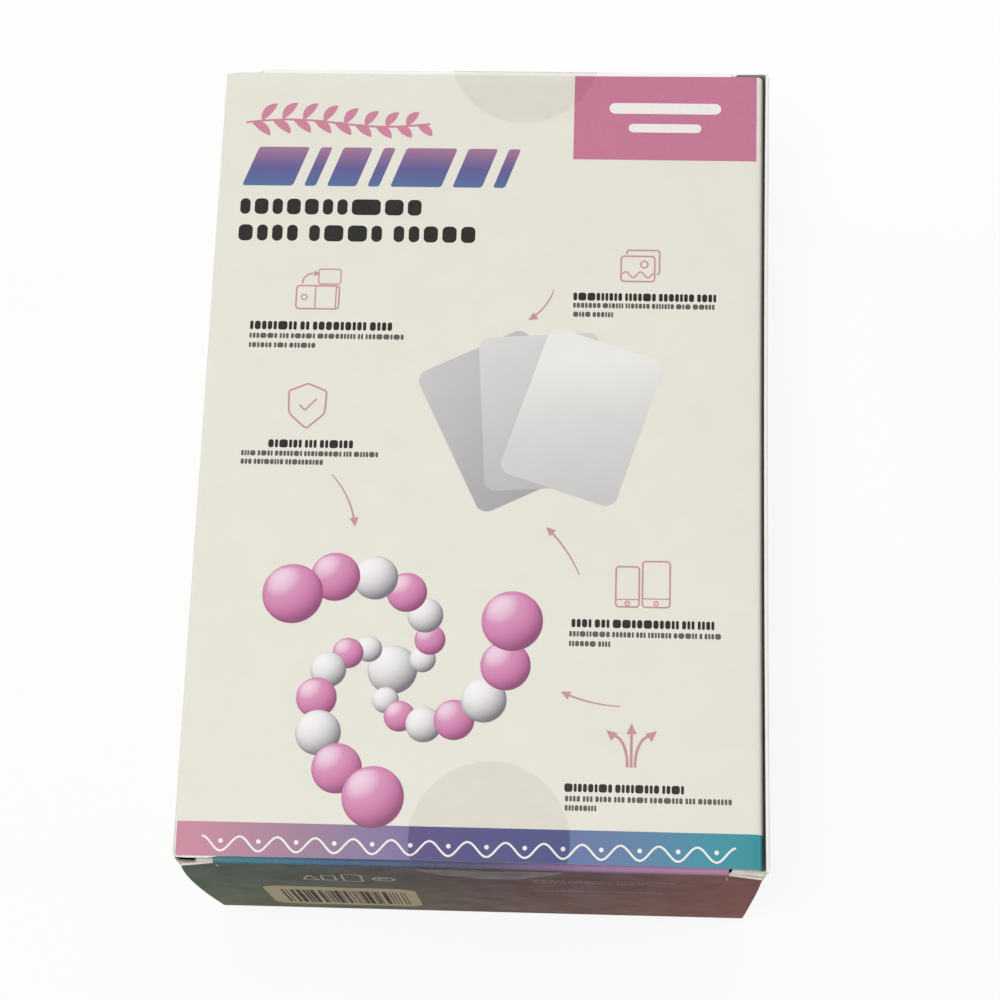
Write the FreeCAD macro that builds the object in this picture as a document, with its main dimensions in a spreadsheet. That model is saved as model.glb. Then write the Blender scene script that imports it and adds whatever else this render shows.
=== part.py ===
import FreeCAD, Part
import os
import Sketcher

# Driving dimensions in millimetres. The carton lies on its back panel: X is its width, Y its height, Z its depth.
sizes = {
    "width": 140.0,
    "height": 206.0,
    "depth": 80.0,
    "board": 0.5,
    "crease_radius": 0.8,
    "hinge_radius": 0.4,
    "flap_fold_radius": 0.4,
    "edge_setback": 1.6,
    "seam_setback": 1.1,
    "lid_setback": 1.0,
    "slit_length": 9.5,
    "slit_kerf": 0.5,
    "ear_drop_slit": 1.5,
    "ear_drop_corner": 7.0,
    "flap_gap": 0.4,
    "flap_gap_reach": 3.0,
    "flap_gap_length": 4.6,
    "seal_diameter": 38.0,
    "seal_film": 0.1,
    "bottom_seal_x": 4.4,
    "bottom_seal_inset": 6.4,
    "top_seal_x": 7.4,
    "top_seal_inset": -3.9,
}

doc = FreeCAD.newDocument("carton")
sheet = doc.addObject("Spreadsheet::Sheet", "dims")
for row, (name, size) in enumerate(sizes.items(), start=1):
    sheet.set("A%d" % row, name)
    sheet.set("B%d" % row, str(size))
    sheet.setAlias("B%d" % row, name)
doc.recompute()


# A length is a sum of multiples of named dimensions, such as {"width": 0.5, "seam_setback": -1}.
def value(length):
    return sum(times * sizes[name] for name, times in length.items())


def formula(length):
    return " + ".join("(%g) * dims.%s" % (times, name) for name, times in length.items())


def plus(first, second, times=1):
    total = dict(first)
    for name, number in second.items():
        total[name] = total.get(name, 0) + times * number
    return total


def negative(length):
    return {name: -times for name, times in length.items()}


# A sketch of closed outlines on one of the body's own planes, moved along the plane's normal by a length.
def sketch_on(body, label, role, outlines, shift=None):
    plane = [f for f in body.Origin.OriginFeatures if f.Role == role][0]
    sketch = body.newObject("Sketcher::SketchObject", label)
    sketch.AttachmentSupport = [(plane, "")]
    sketch.MapMode = "FlatFace"
    if shift:
        sketch.setExpression("AttachmentOffset.Base.z", formula(shift))
    for corners in outlines:
        first = sketch.GeometryCount
        count = len(corners)
        spots = [FreeCAD.Vector(value(u), value(v), 0) for u, v in corners]
        for i in range(count):
            sketch.addGeometry(Part.LineSegment(spots[i], spots[(i + 1) % count]), False)
        for i in range(count):
            following = first + (i + 1) % count
            sketch.addConstraint(Sketcher.Constraint("Coincident", first + i, 2, following, 1))
        for i, (u, v) in enumerate(corners):
            for kind, axis, length in (("DistanceX", -2, u), ("DistanceY", -1, v)):
                if not length:
                    sketch.addConstraint(Sketcher.Constraint("PointOnObject", first + i, 1, axis))
                    continue
                number = sketch.addConstraint(
                    Sketcher.Constraint(kind, -1, 1, first + i, 1, value(length))
                )
                sketch.setExpression("Constraints[%d]" % number, formula(length))
    doc.recompute()
    return sketch


def box_outline(left, right, low, high):
    return [(left, low), (right, low), (right, high), (left, high)]


# A cut to both sides of a sketch, over a length or through everything.
def cut(body, label, sketch, length=None):
    pocket = body.newObject("PartDesign::Pocket", label)
    pocket.Profile = sketch
    pocket.SideType = "Symmetric"
    if length:
        pocket.Type = "Length"
        pocket.setExpression("Length", formula(length))
    else:
        pocket.Type = "ThroughAll"
    doc.recompute()
    return pocket


# Rounds every straight edge of the tip that runs along one axis through the given places.
def round_edges(body, label, axis, places, radius):
    tip = body.Tip
    names = []
    for number, edge in enumerate(tip.Shape.Edges, start=1):
        ends = [v.Point for v in edge.Vertexes]
        if len(ends) != 2:
            continue
        run = (ends[1] - ends[0]).normalize()
        if abs(abs(run[axis]) - 1) > 1e-6:
            continue
        across = [ends[0][k] for k in range(3) if k != axis]
        if any(abs(across[0] - a) < 1e-4 and abs(across[1] - b) < 1e-4 for a, b in places):
            names.append("Edge%d" % number)
    fillet = body.newObject("PartDesign::Fillet", label)
    fillet.Base = (tip, names)
    fillet.setExpression("Radius", formula(radius))
    doc.recompute()
    return fillet


half_width = {"width": 0.5}
half_height = {"height": 0.5}
depth = {"depth": 1}
board = {"board": 1}
under_front = plus(depth, board, -1)
spare = {"board": 10}

# The folded sleeve with both ends tucked in is one block: nothing inside can be seen.
carton = doc.addObject("PartDesign::Body", "carton")
carton.Label = "carton"
section = sketch_on(
    carton, "section", "XZ_Plane", [box_outline(negative(half_width), half_width, {}, depth)]
)
sleeve = carton.newObject("PartDesign::Pad", "sleeve")
sleeve.Profile = section
sleeve.SideType = "Symmetric"
sleeve.setExpression("Length", "dims.height")
doc.recompute()

# The glued seam: the front panel is a raw edge, set in from the fold of the right side panel.
seam_outline = box_outline(
    plus(half_width, {"seam_setback": -1}), plus(half_width, spare), under_front, plus(depth, spare)
)
seam = sketch_on(carton, "seam_outline", "XZ_Plane", [seam_outline])
cut(carton, "seam", seam)

# Long creases of the sleeve: two at the back, one at the front left, and the seam's own fold.
w, h, d = value(half_width), value(half_height), value(depth)
b = sizes["board"]
round_edges(
    carton, "sleeve_creases", 1, [(-w, 0), (w, 0), (-w, d), (w, d - b)], {"crease_radius": 1}
)

# The front panel stops short of both ends, as raw edges that show the tuck folds below them.
raw_edge = plus(half_height, {"edge_setback": -1})
beyond = plus(half_height, spare)
front_ends = sketch_on(
    carton,
    "front_ends_outline",
    "YZ_Plane",
    [
        box_outline(raw_edge, beyond, under_front, plus(depth, spare)),
        box_outline(negative(beyond), negative(raw_edge), under_front, plus(depth, spare)),
    ],
)
cut(carton, "front_ends", front_ends)

# Each lid is a little narrower than the sleeve, so the folds of the side flaps show beside it.
lid_edge = plus(half_width, {"lid_setback": -1})
flap_face = plus(half_height, board, -1)
wide = plus(half_width, spare)
lid_sides = sketch_on(
    carton,
    "lid_sides_outline",
    "XY_Plane",
    [
        box_outline(lid_edge, wide, flap_face, beyond),
        box_outline(negative(wide), negative(lid_edge), flap_face, beyond),
        box_outline(lid_edge, wide, negative(beyond), negative(flap_face)),
        box_outline(negative(wide), negative(lid_edge), negative(beyond), negative(flap_face)),
    ],
)
cut(carton, "lid_sides", lid_sides)

# The lids hinge on the back panel, and the side flaps fold in from the side panels.
round_edges(carton, "lid_hinges", 0, [(h, 0), (-h, 0)], {"hinge_radius": 1})
f = value(flap_face)
round_edges(
    carton, "flap_folds", 2, [(w, f), (-w, f), (w, -f), (-w, -f)], {"flap_fold_radius": 1}
)

# Slit locks: beside each tuck fold the lid ends in a raw ear that slopes away to the corner.
slit = plus(half_width, {"slit_length": -1})
ear_at_slit = plus(depth, {"ear_drop_slit": -1})
ear_at_corner = plus(depth, {"ear_drop_corner": -1})
high = plus(depth, spare)
right_ear = [(slit, ear_at_slit), (wide, ear_at_corner), (wide, high), (slit, high)]
left_ear = [(negative(u), v) for u, v in reversed(right_ear)]
lid_middle = plus(half_height, {"board": -0.5})
for end, shift in (("top", negative(lid_middle)), ("bottom", lid_middle)):
    ears = sketch_on(carton, end + "_ears_outline", "XZ_Plane", [left_ear, right_ear], shift)
    cut(carton, end + "_ears", ears, board)

# The slits go on behind the lid, and a thin gap is left between the side flaps and the front panel.
kerf_end = plus(slit, {"slit_kerf": 1})
gap_end = plus(slit, {"flap_gap_length": 1})
tuck_radius = {"edge_setback": 1, "board": -1}
kerf_low = plus(plus(under_front, tuck_radius, -1), {"flap_gap": -1})
gap_low = plus(under_front, {"flap_gap": -1})
reach = {"height": 0.5, "flap_gap_reach": -0.5}
slits = [box_outline(slit, kerf_end, kerf_low, under_front)]
slits += [box_outline(kerf_end, gap_end, gap_low, under_front)]
slits += [[(negative(u), v) for u, v in reversed(outline)] for outline in slits]
for end, shift in (("top", negative(reach)), ("bottom", reach)):
    gaps = sketch_on(carton, end + "_slits_outline", "XZ_Plane", slits, shift)
    cut(carton, end + "_slits", gaps, {"flap_gap_reach": 1})

# Between the slits each lid turns in under the front panel, on the bend of the seal that crosses it.
round_edges(carton, "tuck_folds", 0, [(h, d - b), (-h, d - b)], tuck_radius)


# A round film seal, bent over an end: the part of a bent strip inside two cylinders, one across each panel.
def round_seal(label, toward_top, across, inset):
    side = 1 if toward_top else -1
    film = {"seal_film": 1}
    bend = {"edge_setback": 1}
    radius = {"seal_diameter": 0.5}
    end = {"height": 0.5 * side}

    def box(name, low, high):
        solid = doc.addObject("Part::Box", label + name)
        for k, size in enumerate(("Length", "Width", "Height")):
            solid.setExpression(size, formula(plus(high[k], low[k], -1)))
        for k, letter in enumerate("xyz"):
            solid.setExpression("Placement.Base." + letter, formula(low[k]))
        return solid

    def round_bar(name, thickness, low, turn):
        solid = doc.addObject("Part::Cylinder", label + name)
        solid.Placement.Rotation = turn
        solid.setExpression("Radius", formula(thickness[0]))
        solid.setExpression("Height", formula(thickness[1]))
        for k, letter in enumerate("xyz"):
            solid.setExpression("Placement.Base." + letter, formula(low[k]))
        return solid

    def pair(kind, name, base, tool):
        result = doc.addObject(kind, label + name)
        result.Base = base
        result.Tool = tool
        return result

    def many(kind, name, shapes):
        result = doc.addObject(kind, label + name)
        result.Shapes = shapes
        return result

    upright = FreeCAD.Rotation()
    along_x = FreeCAD.Rotation(FreeCAD.Vector(0, 1, 0), 90)
    along_y = FreeCAD.Rotation(FreeCAD.Vector(1, 0, 0), -90)
    left = plus(across, radius, -1)
    right = plus(across, radius)
    outer = plus(end, film, side)
    centre_y = plus(end, inset, -side)
    fold_y = plus(end, bend, -side)
    fold_z = plus(depth, bend, -1)
    diameter = plus(radius, radius)

    # The strip: a flat length on the front panel, a quarter bend, a flat length on the end.
    def span(a, c):
        return (a, c) if side > 0 else (c, a)

    y0, y1 = span(plus(centre_y, diameter, -side), fold_y)
    front = box("_front", (left, y0, depth), (right, y1, plus(depth, film)))
    y0, y1 = span(end, outer)
    lower = box("_end", (left, y0, plus(fold_z, diameter, -1)), (right, y1, fold_z))
    y0, y1 = span(fold_y, plus(outer, film, side))
    quarter = box("_quarter", (left, y0, fold_z), (right, y1, plus(depth, film, 2)))
    bar = (left, fold_y, fold_z)
    outside = round_bar("_outside", (plus(bend, film), diameter), bar, along_x)
    inside = round_bar("_inside", (bend, diameter), bar, along_x)
    ring = pair("Part::Cut", "_ring", outside, inside)
    turn = pair("Part::Common", "_turn", ring, quarter)
    strip = many("Part::MultiFuse", "_strip", [front, turn, lower])

    # The round outline, carried on past the bend by the arc's own length.
    quarter_turn = {"edge_setback": 3.14159265 / 2}
    past_bend = plus(plus(inset, bend, -1), quarter_turn)
    on_front = round_bar(
        "_on_front", (radius, plus(bend, film, 2)), (across, centre_y, fold_z), upright
    )
    end_low = fold_y if side > 0 else plus(outer, film, -1)
    on_end = round_bar(
        "_on_end", (radius, plus(bend, film, 2)), (across, end_low, plus(fold_z, past_bend)), along_y
    )
    outline = many("Part::MultiFuse", "_outline", [on_front, on_end])
    seal = pair("Part::Common", "", strip, outline)
    seal.Refine = True
    seal.Label = label
    return seal


bottom_seal = round_seal(
    "bottom_seal", False, {"bottom_seal_x": 1}, {"bottom_seal_inset": 1}
)
top_seal = round_seal("top_seal", True, {"top_seal_x": 1}, {"top_seal_inset": 1})
doc.recompute()

# Every object is sound before anything is written.
for thing in doc.Objects:
    if "Invalid" in thing.State or "Error" in thing.State:
        raise RuntimeError("not sound: " + thing.Name)
os.makedirs("parts", exist_ok=True)
for node in (carton, bottom_seal, top_seal):
    shape = node.Shape
    if shape.isNull() or not shape.isValid() or len(shape.Solids) != 1:
        raise RuntimeError("no single solid: " + node.Label)
    shape.exportStep("parts/%s.step" % node.Label)
    print(node.Label, "volume %.2f" % shape.Volume, shape.BoundBox)
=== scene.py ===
import math

import bpy
import numpy as np
from mathutils import Matrix, Vector


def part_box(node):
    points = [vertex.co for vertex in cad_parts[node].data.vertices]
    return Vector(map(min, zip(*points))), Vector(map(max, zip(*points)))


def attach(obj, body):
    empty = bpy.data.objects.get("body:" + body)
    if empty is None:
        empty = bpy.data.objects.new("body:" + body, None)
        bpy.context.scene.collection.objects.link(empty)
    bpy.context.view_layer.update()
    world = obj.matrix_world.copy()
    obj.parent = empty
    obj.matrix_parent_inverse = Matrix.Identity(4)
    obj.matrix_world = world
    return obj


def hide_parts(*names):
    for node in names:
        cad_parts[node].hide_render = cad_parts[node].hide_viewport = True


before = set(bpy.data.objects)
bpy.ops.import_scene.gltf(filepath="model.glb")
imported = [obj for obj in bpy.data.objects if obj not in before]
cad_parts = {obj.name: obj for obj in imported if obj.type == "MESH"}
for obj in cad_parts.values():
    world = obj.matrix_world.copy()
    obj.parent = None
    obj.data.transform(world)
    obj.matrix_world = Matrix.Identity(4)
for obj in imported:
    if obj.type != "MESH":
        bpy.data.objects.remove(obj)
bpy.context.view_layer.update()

lowCorner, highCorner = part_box("carton")
mm = 0.001

# Sizes in millimetres. The overall ones are read from the frame, the rest are the board's own.
width, height, depth = [(high - low) / mm for low, high in zip(lowCorner, highCorner)]
halfW = width / 2
halfH = height / 2
board = {
    "thickness": 0.5,
    "crease": 0.8,
    "hinge": 0.6,
    "edgeSetback": 1.6,
    "lidSetback": 0.6,
    "slit": 9.5,
    "earAtSlit": 1.6,
    "earAtCorner": 7.0,
    "earSpring": 0.05,
    "earTaper": 1.4,
    "corner": 1.6,
    "cornerRound": 0.6,                # how far the front's raw edges round off at its crease
    "seamGroove": (1.45, 0.95, 4.0),   # front's edge and fold from the side, depth
    "seamRoll": (1.9, 2.1),            # how far the front's glued edge rolls down, and from where
    "seamSink": 0.2,                   # how far the glue flap's fold lies below the front
    "seamRadii": (0.1, 0.1, 0.15),     # bends of the glue flap up to that fold
    "hair": 0.1,                       # gap between layers that lie on each other
    "glueFlap": 14.0,
    "glueShort": 0.3,                  # how far the glue flap stops short of the front's ends
    "tuck": 16.0,
    "tuckDip": 0.02,                   # slope of the tuck flap, down from the fold
    "dustFlap": 42.0,
    # each side flap by side and end: how steeply its free strip leans in and how far below the front
    # it stops, both near the crease and further in, then from where and over what length that changes,
    # and how far in the strip is cut short
    "sideFlaps": {
        (-1, -1): ((0.1, 3.0), (4.4, 0.9), 5.0, 0.5, 9.7),
        (1, -1): ((0.8, 3.5), (0.9, 0.9), 0.4, 1.2, 8.0),
        (-1, 1): ((0.02, 0.02), (2.2, 2.2), 1.0, 3.0, 8.0),
        (1, 1): ((-0.03, -0.03), (0.7, 0.7), 1.0, 3.0, 8.0),
    },
    "flapBend": (3.0, 0.8, 0.4, 2.6),  # below the front, above the ear, length of the curl, most lean
    "flapCut": (0.8, 0.7),             # over what length the strip is cut short, and by what share
    "flapLimit": (0.7, 2.0),           # most lean as a share of the bend's depth, and growth past it
    "sideBow": {-1: 1.5, 1: -0.7},     # how far each side wall bows out at the bottom end
    "footPull": {-1: 0.0, 1: 1.6},     # how far each back corner of the bottom end is pushed in
    "edgeSag": {-1: 0.0, 1: 0.35},     # how far each long edge of the front sags in
    "sagArch": 1.5,                    # how fast that sag falls off towards the ends
    "bowReach": 14.0,                  # how far in from a wall its bow is felt
    "edgeBow": 0.25,
    "edgeDrop": 0.3,                   # the front's bottom edge lies this much further out
    "bareEnd": (0.45, 10.5, 2.0),      # bare strip at that edge's left end: height, length, run-out
    "shadeFrom": 12.0,                 # painted shade: that edge is darkened from here on
    "edgeWear": (0.6, 60),             # wear at the raw ends: most, and how close to the end
    "lidWear": (0.7, 40),              # the same at the lids' folds
    "frontCrown": 0.25,
    "frontShoulder": (0.35, 36),       # height over the creases, and how square the shoulder is
    "sideCrown": 0.35,
    "backDish": 0.2,
    "lidCrown": 0.30,
}
tuckRadius = board["edgeSetback"] - board["thickness"]
rollPoints = 2 * board["seamRoll"][1] * np.linspace(1, 0, 21)     # distances from the glued edge
tiny = 1e-6              # mm, two points closer than this are one
sharpFold = 40           # degrees between faces, past which a fold stays hard
rng = np.random.default_rng(20)
print("carton %.1f x %.1f x %.1f mm" % (width, height, depth))


def linear(hexText):
    # sRGB hex to linear RGBA: the two-part sRGB curve
    parts = np.array([int(hexText[i : i + 2], 16) for i in (0, 2, 4)]) / 255
    flat = np.where(parts <= 0.04045, parts / 12.92, ((parts + 0.055) / 1.055) ** 2.4)
    return (*flat.tolist(), 1.0)


def perMm(size):
    # texture scale for a feature of this many millimetres
    return 1000.0 / size


def addNode(tree, kind, inputs=None, out=0, stops=(), **settings):
    # Adds a node with its settings and, on a ramp, its stops (place from 0 to 1, hex colour). Each
    # named input gets a link or a value. Returns one output, or all of them where out is None.
    made = tree.nodes.new("ShaderNode" + kind)
    for name, setting in settings.items():
        setattr(made, name, setting)
    for socket, source in (inputs or {}).items():
        if isinstance(source, bpy.types.NodeSocket):
            tree.links.new(source, made.inputs[socket])
        else:
            made.inputs[socket].default_value = source
    if stops:
        elements = made.color_ramp.elements
        while len(elements) < len(stops):
            elements.new(0.5)
        for element, (place, colour) in zip(elements, stops):
            element.position = place
            element.color = linear(colour)
    return made.outputs if out is None else made.outputs[out]


def newMaterial(name):
    # an empty material and its node tree
    material = bpy.data.materials.new(name)
    material.use_nodes = True
    tree = material.node_tree
    tree.nodes.clear()
    return material, tree


# Print and board finishes

coat = {
    "mottle": 7.0,               # mm, cloudiness of the sheet
    "mottleSpan": (0.3, 0.7),    # noise at which a cloud begins and is full
    "mottleShare": 0.025,
    "peel": 0.35,                # mm, orange peel of the varnish
    "peelDepth": 0.05,           # mm
    "roughness": (0.36, 0.5),
    "bump": 0.06,
    "gloss": 0.2,
    "mattGloss": 0.01,
    "grain": 0.4,                # mm, halftone grain, drawn as coarse as it needs to show
    # chips where board or ink is worn: mm, noise at which one begins and is whole, most share
    "boardChips": (0.5, 0.42, 0.66, 0.8),
    "inkChips": (0.45, 0.4, 0.8, 0.2),
}
fibre = {"size": 0.6, "depth": 0.1, "bump": 0.4, "roughness": 0.85}


def varnished(tree, colour, gloss=coat["gloss"]):
    # Varnished board: the colour clouds over a few millimetres, and fine peel breaks the gloss.
    place = addNode(tree, "TexCoord", out="Object")
    cloud = addNode(tree, "TexNoise", {"Vector": place, "Scale": perMm(coat["mottle"]), "Detail": 4.0})
    peel = addNode(tree, "TexNoise", {"Vector": place, "Scale": perMm(coat["peel"]), "Detail": 2.0})
    begin, full = coat["mottleSpan"]
    low, high = coat["roughness"]
    shade = addNode(tree, "MapRange", {0: cloud, 1: begin, 2: full, 3: 1 - coat["mottleShare"], 4: 1.0})
    mixed = {0: 1.0, 6: colour, 7: shade}
    tinted = addNode(tree, "Mix", mixed, 2, data_type="RGBA", blend_type="MULTIPLY")
    rough = addNode(tree, "MapRange", {0: cloud, 1: begin, 2: full, 3: low, 4: high})
    deep = coat["peelDepth"] * mm
    bump = addNode(tree, "Bump", {"Strength": coat["bump"], "Distance": deep, "Height": peel})
    surface = addNode(
        tree,
        "BsdfPrincipled",
        {"Base Color": tinted, "Roughness": rough, "Normal": bump, "Specular IOR Level": gloss},
    )
    addNode(tree, "OutputMaterial", {"Surface": surface}, None)


def chipped(tree, colour, worn, chips):
    # A worn face: the piece's own wear times a noise that is cut to chips lets the worn colour show.
    size, begin, whole, most = chips
    wear = addNode(tree, "Attribute", out="Fac", attribute_name="wear")
    place = addNode(tree, "TexCoord", out="Object")
    cracks = addNode(tree, "TexNoise", {"Vector": place, "Scale": perMm(size), "Detail": 5.0})
    cut = addNode(tree, "MapRange", {0: cracks, 1: begin, 2: whole, 3: 0.0, 4: most})
    share = addNode(tree, "Math", {0: wear, 1: cut}, operation="MULTIPLY")
    return addNode(tree, "Mix", {0: share, 6: colour, 7: linear(worn)}, 2, data_type="RGBA")


def coatedBoard(name, colour, worn):
    # Coated folding board: a smooth cream face whose coat whitens and cracks along the creases.
    material, tree = newMaterial(name)
    varnished(tree, chipped(tree, linear(colour), worn, coat["boardChips"]))
    return material


def rawBoard(name, colour, darker):
    # Cut edge and inside of grey-white board: matt, with short fibres pressed along the sheet.
    material, tree = newMaterial(name)
    place = addNode(tree, "TexCoord", out="Object")
    pressed = {"Vector": place, "Scale": perMm(fibre["size"]), "Detail": 6.0, "Roughness": 0.7}
    fibres = addNode(tree, "TexNoise", pressed)
    shade = addNode(tree, "ValToRGB", {"Fac": fibres}, stops=[(0.35, darker), (0.65, colour)])
    deep = fibre["depth"] * mm
    bump = addNode(tree, "Bump", {"Strength": fibre["bump"], "Distance": deep, "Height": fibres})
    matt = {"Base Color": shade, "Normal": bump, "Roughness": fibre["roughness"]}
    addNode(tree, "OutputMaterial", {"Surface": addNode(tree, "BsdfPrincipled", matt)}, None)
    return material


def fadedInk(name, axis, low, high, stops, gloss=coat["gloss"], worn=None, foot=None, wet=None):
    # Process inks that fade into each other along one axis, from low to high in millimetres. With a foot
    # (its stops, low, high), the whole fade also changes from those stops at the foot to the first ones
    # above: painted warm bounce light, warmer and lighter near the floor. With a wet round (x, y, radius,
    # deeper colour), gum deepens the ink inside it.
    material, tree = newMaterial(name)
    place = addNode(tree, "TexCoord", out="Object")
    apart = addNode(tree, "SeparateXYZ", {0: place}, None)
    along = addNode(tree, "MapRange", {0: apart[axis], 1: low * mm, 2: high * mm, 3: 0.0, 4: 1.0})
    colour = addNode(tree, "ValToRGB", {"Fac": along}, stops=stops)
    if foot:
        bounceLitStops, footLow, footHigh = foot
        footColour = addNode(tree, "ValToRGB", {"Fac": along}, stops=bounceLitStops)
        rise = addNode(tree, "MapRange", {0: apart[2], 1: footLow * mm, 2: footHigh * mm, 3: 0.0, 4: 1.0})
        colour = addNode(tree, "Mix", {0: rise, 6: footColour, 7: colour}, 2, data_type="RGBA")
    if worn:
        colour = chipped(tree, colour, worn, coat["inkChips"])
    if wet:
        x, y, radius, deeper = wet
        flat = addNode(tree, "CombineXYZ", {0: apart[0], 1: apart[1]})
        middle = (x * mm, y * mm, 0)
        away = addNode(tree, "VectorMath", {0: flat, 1: middle}, "Value", operation="DISTANCE")
        inside = addNode(tree, "Math", {0: away, 1: radius * mm}, operation="LESS_THAN")
        mixed = {0: inside, 6: colour, 7: linear(deeper)}
        colour = addNode(tree, "Mix", mixed, 2, data_type="RGBA", blend_type="MULTIPLY")
    varnished(tree, colour, gloss)
    return material


def flatInk(name, colour, darker, gloss=coat["gloss"]):
    # One printed ink: a fine halftone grain between two near shades.
    material, tree = newMaterial(name)
    place = addNode(tree, "TexCoord", out="Object")
    grain = addNode(tree, "TexNoise", {"Vector": place, "Scale": perMm(coat["grain"]), "Detail": 3.0})
    varnished(tree, addNode(tree, "ValToRGB", {"Fac": grain}, stops=[(0.3, darker), (0.6, colour)]), gloss)
    return material


def tonedInk(name, stops):
    # A printed form with modelled light: the piece's own tone attribute runs from shade to light.
    material, tree = newMaterial(name)
    tone = addNode(tree, "Attribute", out="Fac", attribute_name="tone")
    varnished(tree, addNode(tree, "ValToRGB", {"Fac": tone}, stops=stops))
    return material


seals = {
    "radius": 19.0,
    "thickness": 0.06,
    "clear": 0.09,             # above the print, to the film's outer face
    "rim": (0.85, 0.18),       # share of the radius past which the rim lifts, and how steeply
    # waves of the free lip: height, radians in each mm across, then a shift or a slant
    "waves": ((0.4, 0.31, 0.5), (0.2, 0.7, 0.4)),
    "lipCurl": (11.0, 1.6),    # mm over which the lip lifts its full height, and how late
    "lipStart": 0.05,          # how far the lip stands off a millimetre past the bend
    # each seal's middle across and in from the end, how far its lip stands off, and which end
    "bottom_seal": {"x": 4.4, "inset": 6.4, "lip": 0.15, "side": -1},
    "top_seal": {"x": 7.4, "inset": -3.9, "lip": 0.1, "side": 1},
    "wetInk": "CDC7DF",        # how the gum deepens the ink under it
    "tint": "FCFCFB",
    "gum": "FAFAF9",
    "gumCloud": 3.0,           # mm
    "ripple": 5.0,             # mm
    "rippleDepth": 0.4,        # mm
    "bump": 0.35,
    "shine": 0.28,
    "ior": 1.04,               # well below polypropylene's 1.49, for the faint gloss of a thin film
}
white = (1, 1, 1, 1)


def gummedFilm(name):
    # The film's gummed side lies on the board: it greys what is under it a little, without gloss.
    material, tree = newMaterial(name)
    place = addNode(tree, "TexCoord", out="Object")
    gum = addNode(tree, "TexNoise", {"Vector": place, "Scale": perMm(seals["gumCloud"]), "Detail": 4.0})
    greys = [(0.3, seals["gum"]), (0.7, seals["tint"])]
    tint = addNode(tree, "ValToRGB", {"Fac": gum}, stops=greys)
    through = addNode(tree, "BsdfTransparent", {"Color": tint})
    addNode(tree, "OutputMaterial", {"Surface": through}, None)
    return material


def clearFilm(name):
    # Clear polypropylene film: see-through, with soft ripples that throw back a faint gloss.
    material, tree = newMaterial(name)
    place = addNode(tree, "TexCoord", out="Object")
    ripples = addNode(tree, "TexNoise", {"Vector": place, "Scale": perMm(seals["ripple"]), "Detail": 3.0})
    deep = seals["rippleDepth"] * mm
    bump = addNode(tree, "Bump", {"Strength": seals["bump"], "Distance": deep, "Height": ripples})
    through = addNode(tree, "BsdfTransparent", {"Color": white})
    gloss = addNode(tree, "BsdfGlossy", {"Color": white, "Roughness": seals["shine"], "Normal": bump})
    edge = addNode(tree, "Fresnel", {"IOR": seals["ior"], "Normal": bump})
    mixed = addNode(tree, "MixShader", {0: edge, 1: through, 2: gloss})
    addNode(tree, "OutputMaterial", {"Surface": mixed}, None)
    return material


creamCoat = coatedBoard("coatedBoardCream", "E7E4D8", "F6F4EE")
whiteCoat = coatedBoard("coatedBoardWhite", "F8F6F0", "FBFAF7")
cutEdge = rawBoard("rawBoardEdge", "D9D3C6", "B9B1A3")
insideFace = rawBoard("rawBoardInside", "B8B4AC", "A39E95")
# a lighter copy of the cut edge: painted light on the lids' edges
litEdge = rawBoard("rawBoardEdgePaintedLight", "F8EFE5", "EADFD3")
# a darker copy of the cut edge: painted shade in the groove, along the front's raw edges and on the side
# flaps' rims
shadedEdge = rawBoard("rawBoardEdgePaintedShade", "948B86", "7C7470")

# Inks that run across the whole width: stops from left to right
bandStops = [
    (0.0, "CE8EA0"),
    (0.22, "9F8198"),
    (0.30, "907C9D"),
    (0.43, "7A6F9E"),
    (0.56, "6F74A2"),
    (0.69, "6979A2"),
    (0.80, "5E85A6"),
    (0.90, "4593A4"),
    (1.0, "389399"),
]
# The lid's stops are a darker, greyer copy of the fold's gradient: painted shade, as the end lies in
# shade. The foot's stops, warmer and lighter, are painted warm bounce light from the floor.
shadedLidStops = [(0.0, "5B736B"), (0.26, "5E6561"), (0.5, "69575A"), (0.7, "775860"), (1.0, "A56262")]
bounceLitStops = [(0.0, "74886D"), (0.35, "7D7969"), (0.55, "83665D"), (0.8, "976960"), (1.0, "AB6A65")]
foldStops = [(0.0, "4F9CA2"), (0.28, "527297"), (0.5, "6A6788"), (0.72, "AA85B1"), (1.0, "D096B4")]
wornInk = "E9E6E0"
bounceSpan = (0.1, 0.8)    # shares of the depth over which the lid's colour goes from the painted warm bounce light at its foot to the painted shade above
lidBounceFoot = (bounceLitStops, bounceSpan[0] * depth, bounceSpan[1] * depth)
shadedLidInk = fadedInk("processInkLidPaintedShade", 0, -halfW, halfW, shadedLidStops, coat["mattGloss"], wornInk, lidBounceFoot)
foldInk = fadedInk("processInkFold", 0, -halfW, halfW, foldStops, coat["mattGloss"], wornInk)
lowSeal = seals["bottom_seal"]
wetRound = (lowSeal["x"], lowSeal["inset"] - halfH, seals["radius"], seals["wetInk"])
bandInk = fadedInk("processInkBand", 0, -halfW, halfW, bandStops, wet=wetRound)
print("board and ink finishes ready")


# Sheets and pieces

def gridQuads(rows, cols, wrap=False):
    # four-cornered faces between neighbours of a grid, closed round the rows where it is a loop
    index = np.arange(rows * cols).reshape(rows, cols)
    if wrap:
        index = np.concatenate([index, index[:1]])
    corners = (index[:-1, :-1], index[1:, :-1], index[1:, 1:], index[:-1, 1:])
    return np.stack(corners, axis=-1).reshape(-1, 4)


def stepsAlong(points, wrap=False):
    # direction of travel along the first axis, from each point's two neighbours
    if wrap:
        return np.roll(points, -1, axis=0) - np.roll(points, 1, axis=0)
    return np.gradient(points, axis=0)


def normalsOf(grid, wrap=False):
    # unit cross product of the two grid directions
    normal = np.cross(stepsAlong(grid, wrap), np.gradient(grid, axis=1))
    return normal / np.linalg.norm(normal, axis=-1, keepdims=True)


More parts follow.
